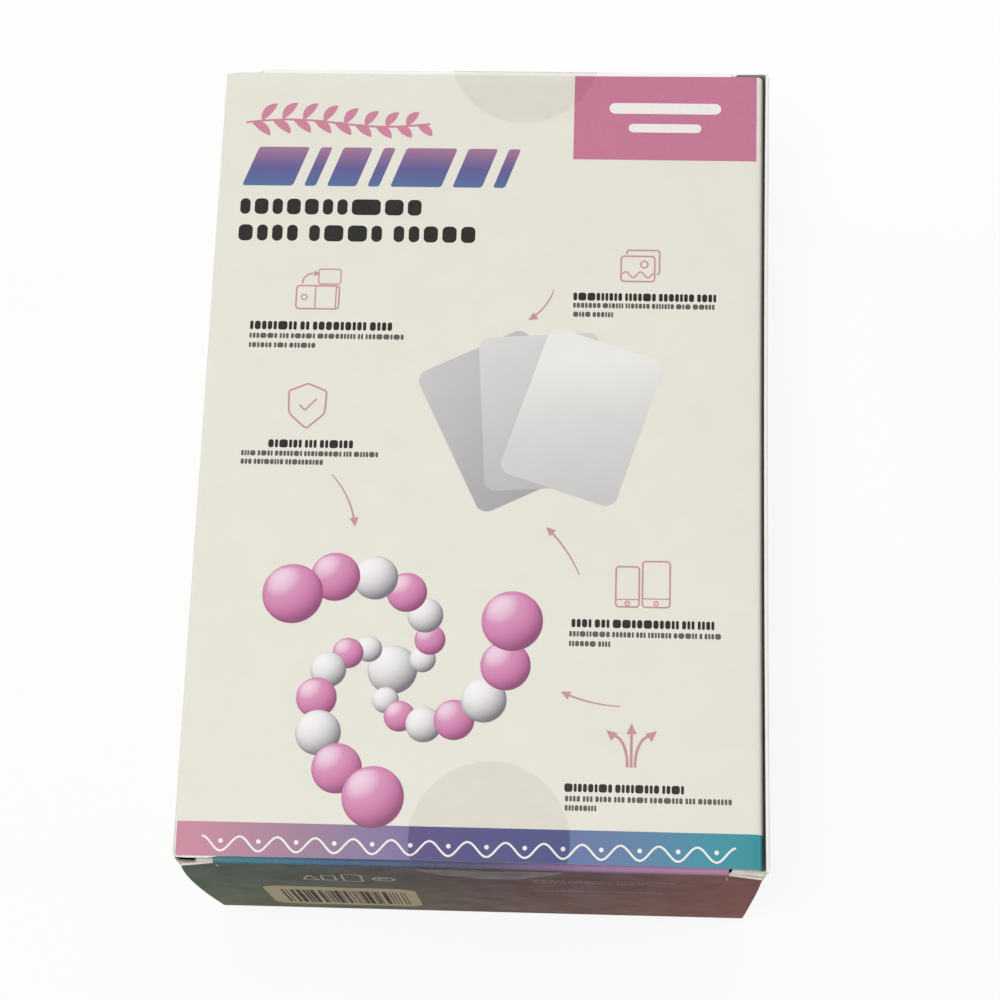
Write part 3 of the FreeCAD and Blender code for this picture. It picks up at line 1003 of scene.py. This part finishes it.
pictogram = {
    "stroke": 0.42,
    "fine": 0.8,                                # shares of the stroke: for small parts,
    "thin": 0.9,                                # for the sun and the hills,
    "bold": 1.1,                                # for the shield
    "wide": 1.6,                                # and for the parting ways
    "lyingDevice": (-43.0, 39.2, 10.8, 6.2, 0.9),    # boxes: middle, width, height, corner
    "lyingScreen": (-41.0, 39.2, 5.2, 6.2, 0.2),
    "lyingButton": (-46.4, 39.2, 0.7),          # rings: middle and radius
    "behindDevice": (-40.2, 44.8, 5.6, 4.0, 0.6),
    "turnArc": (-44.4, 43.0, 2.6),
    "turnHead": ((-42.6, 45.6), (1, 0), 1.6),   # tip, direction, size
    "shield": [(-44.1, 16.2), (-39.4, 14.2), (-39.6, 8.4), (-44.1, 4.4), (-48.6, 8.4), (-48.8, 14.2)],
    "shieldRounds": [1.2, 0.8, 3.0, 0.8, 3.0, 0.8],
    "tick": [(-46.0, 10.6), (-44.6, 9.2), (-41.8, 12.2)],
    "tickRound": 0.3,
    "frontPrint": (37.2, 48.0, 8.4, 6.8, 0.8),
    "backPrint": [(34.4, 51.9), (34.4, 53.0), (42.6, 53.0), (42.6, 46.6), (41.9, 46.6)],
    "backRound": 0.6,
    "sun": (38.8, 49.2, 0.9),
    "hills": (33.4, 41.0, 46.4, 0.8, 1.7),      # left, right, height, swing, turns in each mm
    "devices": [(35.9, -34.4, 5.6, 10.0, 0.8), (42.8, -33.7, 6.6, 11.4, 0.8)],
    "deviceLine": (0.33, 0.3),                  # share of the height below the middle, thickness
    "deviceButton": (0.415, 0.5),               # the same share, radius
    "partingFoot": (37.4, -78.4),
    # bend aside, space at the foot, outer and middle height, power of the rise
    "partingWays": (3.6, 0.9, 7.6, 8.6, 0.9),
    "partingHead": (2.0, 2.6, 1.2),             # how far the tip lies past the way's end, size, lean
}


def pictograms():
    # strokes of even width: boxes, rings, paths with round corners, and ways that part as quarter turns
    p = pictogram
    stroke = p["stroke"]
    fine = stroke * p["fine"]
    thin = stroke * p["thin"]
    # a device on its side before another one, and a turning arrow
    shapes = [
        roundBox(*p["lyingDevice"], stroke),
        roundBox(*p["lyingScreen"], fine),
        (ring(*p["lyingButton"], fine),),
        roundBox(*p["behindDevice"], fine),
        ring(*p["turnArc"], stroke, start=0.25, end=0.5),
        arrowHead(*p["turnHead"]),
    ]
    # shield and tick
    shapes.append((outline(p["shield"], p["shieldRounds"], stroke * p["bold"]),))
    shapes.append(ribbon(bentPath(p["tick"], [p["tickRound"]] * 3, step=1.0)[0], stroke))
    # two prints, one behind the other
    shapes.append(roundBox(*p["frontPrint"], stroke))
    shapes.append(ribbon(bentPath(p["backPrint"], [p["backRound"]] * 5, step=1.5)[0], stroke))
    shapes.append((ring(*p["sun"], thin),))
    x0, x1, y, swing, waves = p["hills"]
    hill = np.linspace(x0, x1, 24)
    shapes.append(ribbon(np.stack([hill, y + swing * np.sin(hill * waves)], axis=1), thin))
    # two devices side by side
    lineShare, lineTall = p["deviceLine"]
    buttonShare, buttonRadius = p["deviceButton"]
    for x, y, wide, tall, corner in p["devices"]:
        lineY = y - tall * lineShare
        shapes.append(roundBox(x, y, wide, tall, corner, stroke))
        shapes.append(bar(x - wide / 2, x + wide / 2, lineY, lineY + lineTall, corner=0.1))
        shapes.append((ring(x, y - tall * buttonShare, buttonRadius, fine),))
    # one way parting into three
    footX, footY = p["partingFoot"]
    aside, space, outerTall, middleTall, power = p["partingWays"]
    past, size, lean = p["partingHead"]
    quarter = np.linspace(0, 1, 14) * math.pi / 2
    for turn in (-1, 0, 1):
        wayX = footX + turn * (space + aside * (1 - np.cos(quarter)))
        wayY = footY + (outerTall if turn else middleTall) * np.sin(quarter) ** power
        path = np.stack([wayX, wayY], axis=1)
        shapes.append(ribbon(path, stroke * p["wide"]))
        ahead = np.array((turn * lean, 1.0))
        shapes.append(arrowHead(path[-1] + past * ahead / np.hypot(*ahead), ahead, size))
    return shapes


arrow = {
    "stop": 0.93,      # share of the curve that the shaft covers
    "thin": 0.28,
    "growth": 0.24,    # how much wider the shaft is at the tip
    "head": 2.3,
    "sweeps": [        # start, end, sag
        ((-37.0, -7.4), (-30.7, -20.6), 0.16),
        ((16.4, 42.2), (10.1, 33.8), 0.18),
        ((24.2, -31.6), (15.9, -19.8), -0.10),
        ((34.6, -63.8), (20.4, -60.5), 0.10),
    ],
}


def sweptArrow(start, end, sag):
    # a quadratic curve from start to end, pushed aside by sag, with a head along its last direction
    start, end = np.array(start), np.array(end)
    side = np.array([-(end - start)[1], (end - start)[0]])
    knee = (start + end) / 2 + sag * side
    s = np.linspace(0, arrow["stop"], 26)[:, None]
    path = (1 - s) ** 2 * start + 2 * s * (1 - s) * knee + s**2 * end
    widths = arrow["thin"] + arrow["growth"] * s[:, 0]
    return [ribbon(path, widths), arrowHead(end, end - knee, arrow["head"])]


printPiece("print_pictograms", pictograms(), lineInk)
printPiece("print_arrows", [part for sweep in arrow["sweeps"] for part in sweptArrow(*sweep)], lineInk)
print("pictograms and arrows printed")


# The picture: a swirl of beads and a fan of blank cards

swirl = {
    "x": -20.0,
    "y": -56.0,
    "arms": 3,
    "beads": 7,
    "reach": 31.0,
    "hub": 0.12,                    # share of the reach that is kept clear
    "twist": 0.36,
    "first": 0.35,
    "radius": (2.6, 4.0),           # smallest, and growth along the arm
    "tip": 1.12,                    # how much larger the last bead is
    "layer": 0.25,                  # how much higher each bead of an arm is printed
    "middle": (6.0, 1.1, 17),       # radius, layer and points of the middle bead
    "light": (-0.45, 0.55, 0.70),
    "shade": 0.18,
}
fan = {
    "x": 16.0,
    "y": -16.0,
    "wide": 30.0,
    "tall": 40.0,
    "low": 6.0,                     # from the turning point to the cards' lower edges
    "turns": (26, 4, -18),
    "corner": 3.0,
    "layer": 0.5,
    "tones": (0.25, 0.22, 0.35, 0.004),    # first, more by card, more up a card, less in each mm across
}
pinkStops = [(0.0, "8F4F74"), (0.45, "C678A3"), (0.8, "D793B8"), (1.0, "F0D3E2")]
pearlStops = [(0.0, "77737A"), (0.4, "B9B5B8"), (0.75, "E4E1E0"), (1.0, "F6F4F2")]
cardStops = [(0.0, "8D8B8E"), (0.5, "BDBBBC"), (0.85, "DAD8D6"), (1.0, "ECEAE6")]


def shadedDisc(x, y, radius, layer, count=13):
    # Tone of a ball lit from the upper left: the cosine of the angle to the light, softened.
    shape = disc(x, y, radius, radius, count)
    u = (shape[..., 0] - x) / radius
    v = (shape[..., 1] - y) / radius
    up = np.sqrt(np.clip(1 - u**2 - v**2, 0, 1))
    lit = np.stack([u, v, up], axis=-1) @ np.array(swirl["light"])
    tone = np.clip(swirl["shade"] + (1 - swirl["shade"]) * lit, 0, 1)
    return inked(shape, onFront, layer, tone=tone)


def makeSwirl():
    # Arms of beads: angle and distance from the middle both grow evenly from bead to bead.
    pinkBeads, pearlBeads = [], []
    smallest, growth = swirl["radius"]
    count = swirl["beads"]
    for arm in range(swirl["arms"]):
        for k in range(count):
            share = (k + 1) / count
            turn = arm * 2 * math.pi / swirl["arms"] + swirl["first"] + swirl["twist"] * k
            reach = swirl["reach"] * (swirl["hub"] + (1 - swirl["hub"]) * share)
            last = k == count - 1
            radius = (smallest + growth * share) * (swirl["tip"] if last else 1)
            place = (swirl["x"] + reach * math.cos(turn), swirl["y"] + reach * math.sin(turn))
            beads = pinkBeads if last or k % 2 else pearlBeads
            beads.append(shadedDisc(*place, radius, 1 + swirl["layer"] * (k + 1)))
    pearlBeads.append(shadedDisc(swirl["x"], swirl["y"], *swirl["middle"]))
    pinkTone = tonedInk("halftoneInkPink", pinkStops)
    pearlTone = tonedInk("halftoneInkPearl", pearlStops)
    makePiece("print_beads_pink", pinkBeads, [pinkTone])
    makePiece("print_beads_pearl", pearlBeads, [pearlTone])


def makeFan():
    # Cards turned about one low point. Tone falls from each card's upper edge to its lower one.
    cards = []
    half, low, tall = fan["wide"] / 2, fan["low"], fan["tall"]
    first, byCard, upCard, across = fan["tones"]
    for k, degrees in enumerate(fan["turns"]):
        a, b = np.moveaxis(bar(-half, half, low, low + tall, fan["corner"], step=3.0), -1, 0)
        shape = turned(a, b, fan["x"], fan["y"], math.radians(degrees))
        tone = np.clip(first + byCard * k + upCard * (b - low) / tall - across * a, 0, 1)
        cards.append(inked(shape, onFront, 1 + fan["layer"] * k, tone=tone))
    makePiece("print_cards", cards, [tonedInk("halftoneInkGrey", cardStops)])


makeFan()
makeSwirl()
print("picture printed")


# The bottom end: code patch, small marks and rows

endPrint = {
    "patch": (-54.1, -15.5, 9.0, 42.5, 4.5),      # left, right, low, high, corner
    "bars": (-50.0, -18.6, 13.0, 36.5, 30),       # left, right, low, high, count
    "barWidths": ([1.0, 2.0, 3.0, 4.0], [0.45, 0.3, 0.15, 0.1]),    # with their odds
    "barGaps": ([1.0, 2.0, 3.0], [0.5, 0.35, 0.15]),
    "stroke": 0.5,
    "triangle": (-39.8, 59.4, 1.9, 4.0, 0.3),     # middle, half width, half height, corner
    "boxes": [(-35.2, 59.4, 3.2, 7.6, 0.6), (-29.4, 60.0, 4.6, 11.0, 1.4)],
    "ring": (-21.8, 59.4, 2.6, 0.6),              # middle, radius, stroke
    "openRing": (-21.8, 59.4, 1.2, 0.5, 0.1, 0.65),    # the same, then start and end in turns
    "tears": [(-60.0, -60.0, 77.6, 74.6), (60.1, 60.4, 77.6, 72.4)],    # across at both ends, top, stop
    "tearWidths": (0.12, 0.2, 0.3),
    "dimpleGlint": (0.27, 1.6),                          # half width, half height of a white spot, painted highlight of a dimple where the tear stops
    "rows": [
        (14.4, 48.6, 63.6, 64.4, [6, 4, 7, 5, 8]),
        (14.4, 44.0, 60.6, 61.4, [5, 7, 3, 6]),
        (14.4, 46.0, 46.6, 47.4, [4, 8, 6, 5]),
    ],
}
creamInk = flatInk("opaqueInkCream", "E9E2C4", "E2DABB", coat["mattGloss"])
mattBlack = flatInk("mattInkBlack", "211F1C", "2C2A27", coat["mattGloss"])
mattWhite = flatInk("mattInkWhite", "EDE8E0", "E0DAD2", coat["mattGloss"])
paleRose = flatInk("mattInkPaleRose", "B9A6AE", "AD9AA3", coat["mattGloss"])
tornFibreAndGlint = rawBoard("tornFibreAndGlint", "F3EFE6", "E2DACD")

printPiece("print_code_patch", [bar(*endPrint["patch"])], creamInk, onEnd)
x0, x1, z0, z1, count = endPrint["bars"]
barWidths, widthOdds = endPrint["barWidths"]
barGaps, gapOdds = endPrint["barGaps"]
thick = rng.choice(barWidths, size=count, p=widthOdds)
gap = rng.choice(barGaps, size=count, p=gapOdds)
unit = (x1 - x0) / (thick.sum() + gap[:-1].sum())
starts = x0 + unit * np.concatenate([[0], np.cumsum(thick + gap)[:-1]])
codeBars = [bar(a, a + unit * w, z0, z1, corner=0.02, step=6.0) for a, w in zip(starts, thick)]
printPiece("print_code_bars", codeBars, mattBlack, onEnd, layer=2)

# Small marks: a triangle, two upright boxes, and a ring with an open ring inside.
x, z, wide, tall, corner = endPrint["triangle"]
stroke = endPrint["stroke"]
marks = [(outline([(x - wide, z - tall), (x + wide, z - tall), (x, z + tall)], corner, stroke),)]
marks += [roundBox(*box, stroke) for box in endPrint["boxes"]]
marks += [(ring(*endPrint["ring"]),), ring(*endPrint["openRing"])]
printPiece("print_end_marks", marks, mattWhite, onEnd)

# Torn fibres at the slits' ends: a thin line down the lid, and a white spot where the tear stops, painted
# highlight of a dimple.
tears = []
for x0, x1, top, stop in endPrint["tears"]:
    path = [(x0, top), ((x0 + x1) / 2, (top + stop) / 2), (x1, stop)]
    tears.append(ribbon(path, endPrint["tearWidths"]))
    tears.append(disc(x1, stop, *endPrint["dimpleGlint"]))
printPiece("slit_tears", tears, tornFibreAndGlint, onEnd)
printPiece("print_end_rows", codeRows(endPrint["rows"], square=0.8), paleRose, onEnd)
print("bottom end printed")


# The round film seals

def makeSeal(name, materials):
    # A disc in flat sheet coordinates, x across and d along the film from the front's raw edge:
    # flat on the front, round a quarter of the edge setback, then down the end. The free lip on
    # the end stands off as a power of its distance from the bend, with a few soft waves.
    spec = seals[name]
    radius = seals["radius"]
    bendRadius = board["edgeSetback"]
    arc = bendRadius * math.pi / 2
    across, along = np.moveaxis(disc(0, 0, radius, radius, 81), -1, 0)
    x = spec["x"] + across
    d = along - (spec["inset"] - bendRadius)
    free = np.clip(d - arc, 0, None)
    (tallA, turnA, shift), (tallB, turnB, slant) = seals["waves"]
    wave = tallA * np.sin(across * turnA + shift) + tallB * np.sin(across * turnB + free * slant)
    reach, late = seals["lipCurl"]
    lip = spec["lip"] * (free / reach) ** late + seals["lipStart"] * np.clip(free, 0, 1)
    rimFrom, rimLift = seals["rim"]
    lift = seals["clear"] + rimLift * np.clip(np.hypot(across, along) / radius - rimFrom, 0, 1)
    raw = halfH - bendRadius
    angle = np.clip(d, 0, arc) / bendRadius
    front = d < 0
    outY = np.where(front, raw + d, raw + (bendRadius + lift) * np.sin(angle))
    bendZ = depth - bendRadius + (bendRadius + lift) * np.cos(angle)
    z = np.where(front, frontZ(x, np.abs(raw + d)) + lift, bendZ)
    endZ = depth - bendRadius - free
    past = d > arc
    outY = np.where(past, lidY(x, endZ) + lift + lip * (1 + wave), outY)
    z = np.where(past, endZ, z)
    grid = np.stack([x, spec["side"] * outY, z], axis=-1)
    sheet = closedSheet(facingOut(grid), seals["thickness"])
    piece = makePiece(name + "_film", [sheet], materials, (0, 1, 0))
    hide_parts(name)


filmFaces = [clearFilm("polypropyleneFilm"), gummedFilm("polypropyleneFilmGummed")]
for sealName in ("bottom_seal", "top_seal"):
    makeSeal(sealName, filmFaces)
print("seals stuck on")


# Floor, light and camera

stageSpec = {
    "floor": 12.0,           # m across
    "warm": "A98F6A",
    "paper": (0.95, 0.95, 0.95, 1),
    "whiteShare": 0.86,      # of plain white in the paper that the camera sees
    "lampAim": (0, 0, 0.04),
    "lamps": {
        "key": {"place": (-0.10, -0.20, 0.95), "size": 0.25, "power": 3.7},
        "right": {"place": (1.1, 0.15, 0.55), "size": 0.8, "power": 5.0},
        "left": {"place": (-1.1, 0.15, 0.55), "size": 0.8, "power": 5.2},
        "back": {"place": (0.0, 1.3, 0.6), "size": 0.8, "power": 6.0},
    },
    "world": 0.2,            # strength of the grey light from all round
}


def seenDirectly(tree):
    # 1 for rays from the camera, in a reflection or through something clear, 0 for other light
    rays = addNode(tree, "LightPath", out=None)
    seen = rays["Is Camera Ray"]
    for kind in ("Is Glossy Ray", "Is Transmission Ray"):
        seen = addNode(tree, "Math", {0: seen, 1: rays[kind]}, operation="MAXIMUM")
    return seen


def makeFloor():
    # A paper sweep: mostly plain white where it is seen, and a warm tone in the light it gives.
    mesh = bpy.data.meshes.new("floor")
    corners = boxCorners(0, 0, stageSpec["floor"], stageSpec["floor"])
    mesh.from_pydata([(x, y, 0) for x, y in corners], [], [(0, 1, 2, 3)])
    floor = bpy.data.objects.new("floor", mesh)
    bpy.context.collection.objects.link(floor)
    material, tree = newMaterial("paperSweep")
    seen = seenDirectly(tree)
    share = addNode(tree, "Math", {0: seen, 1: stageSpec["whiteShare"]}, operation="MULTIPLY")
    tones = {0: seen, 6: linear(stageSpec["warm"]), 7: stageSpec["paper"]}
    tone = addNode(tree, "Mix", tones, 2, data_type="RGBA")
    paper = addNode(tree, "BsdfDiffuse", {"Color": tone})
    glow = addNode(tree, "Emission", {"Color": white, "Strength": 1.0})
    mixed = addNode(tree, "MixShader", {0: share, 1: paper, 2: glow})
    addNode(tree, "OutputMaterial", {"Surface": mixed}, None)
    mesh.materials.append(material)


def makeLamp(name, spec):
    # a square soft lamp, turned to the carton's middle
    lamp = bpy.data.lights.new(name, "AREA")
    lamp.energy = spec["power"]
    lamp.size = spec["size"]
    holder = bpy.data.objects.new(name, lamp)
    bpy.context.collection.objects.link(holder)
    holder.location = spec["place"]
    aim = Vector(stageSpec["lampAim"]) - holder.location
    holder.rotation_euler = aim.to_track_quat("-Z", "Y").to_euler()


def makeWorld():
    # white to the camera and in reflections, a plain grey for light
    world = bpy.data.worlds.new("room")
    bpy.context.scene.world = world
    world.use_nodes = True
    tree = world.node_tree
    tree.nodes.clear()
    span = {0: seenDirectly(tree), 1: 0.0, 2: 1.0, 3: stageSpec["world"], 4: 1.0}
    light = addNode(tree, "Background", {"Color": white, "Strength": addNode(tree, "MapRange", span)})
    addNode(tree, "OutputWorld", {"Surface": light}, None)


cameraSpec = {
    "place": (0.03259, -0.18414, 0.64703),
    "aim": (0.004448, -0.012992, 0.08),
    "roll": 7.911,      # degrees
    "lens": 87.41,      # mm
    "sensor": 36.0,     # mm
    "nearest": 0.01,
}


def makeCamera():
    # looks from its place to its aim, then rolls about that line
    camera = bpy.data.cameras.new("camera")
    camera.lens = cameraSpec["lens"]
    camera.sensor_width = cameraSpec["sensor"]
    camera.clip_start = cameraSpec["nearest"]
    holder = bpy.data.objects.new("camera", camera)
    bpy.context.collection.objects.link(holder)
    place = Vector(cameraSpec["place"])
    ahead = (Vector(cameraSpec["aim"]) - place).normalized()
    level = ahead.cross(Vector((0, 0, 1))).normalized()
    roll = math.radians(cameraSpec["roll"])
    side = level * math.cos(roll) + ahead.cross(level) * math.sin(roll)
    up = side.cross(ahead)
    turn = Matrix((side, up, -ahead)).transposed().to_4x4()
    holder.matrix_world = Matrix.Translation(place) @ turn
    bpy.context.scene.camera = holder


makeFloor()
for lampName, lampSpec in stageSpec["lamps"].items():
    makeLamp(lampName, lampSpec)
makeWorld()
makeCamera()
bpy.context.scene.view_settings.view_transform = "Standard"
print("stage set")
